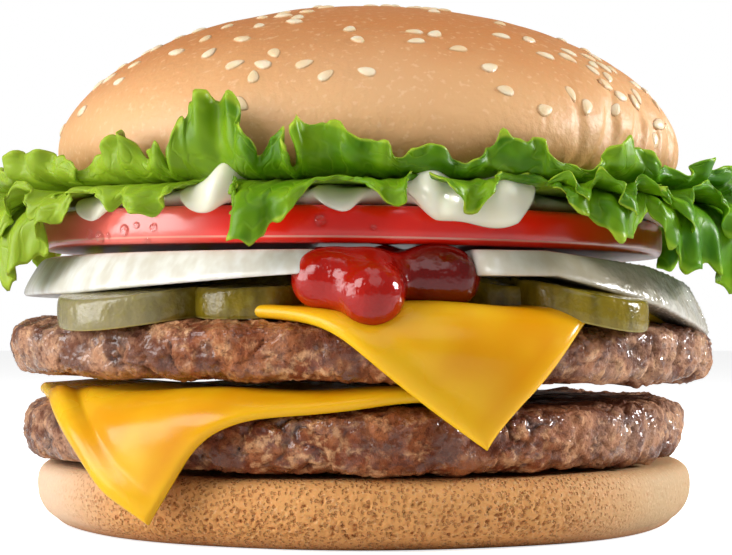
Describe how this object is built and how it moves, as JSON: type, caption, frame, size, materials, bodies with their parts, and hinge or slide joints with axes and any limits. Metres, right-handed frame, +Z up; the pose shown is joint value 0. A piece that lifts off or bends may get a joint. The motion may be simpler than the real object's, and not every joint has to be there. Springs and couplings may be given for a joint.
{
  "type": "double cheeseburger",
  "caption": "Round layered burger: domed seeded bun over ruffled lettuce, mayonnaise, tomato, onion, pickles and ketchup, on beef patties with cheese corners hanging down.",
  "frame": {"origin": "middle of the bun heel's flat base, on the surface the burger stands on", "axes": "+Z up through the stack, -Y towards the front where the cheese corners hang, +X to the right seen from the front"},
  "size_m": [0.1315, 0.1329, 0.092],
  "materials": {
    "bun": "baked crust, satin golden brown on the crown, matt and porous on the heel",
    "beef": "grilled coarse ground beef, moist with glossy spots",
    "cheese": "soft amber processed cheese, satin",
    "pickle": "wet translucent olive green pickled cucumber",
    "ketchup": "thick glossy deep red sauce",
    "onion": "wet translucent white raw onion",
    "tomato": "glossy red tomato skin with fine droplets",
    "mayonnaise": "glossy ivory sauce",
    "lettuce": "fresh green frilled leaf with paler rims, half gloss"
  },
  "bodies": {
    "root": {"bottom_bun": "bun", "lower_patty": "beef", "lower_cheese": "cheese", "upper_patty": "beef", "upper_cheese": "cheese", "pickle_front_left": "pickle", "pickle_front_middle": "pickle", "pickle_right_inner": "pickle", "pickle_right_outer": "pickle", "pickle_back_left": "pickle", "pickle_back_right": "pickle", "ketchup": "ketchup", "onion_left": "onion", "onion_right": "onion", "tomato": "tomato", "mayonnaise": "mayonnaise", "lettuce_front": "lettuce", "lettuce_right": "lettuce", "lettuce_left": "lettuce", "top_bun": "bun"}
  },
  "joints": []
}
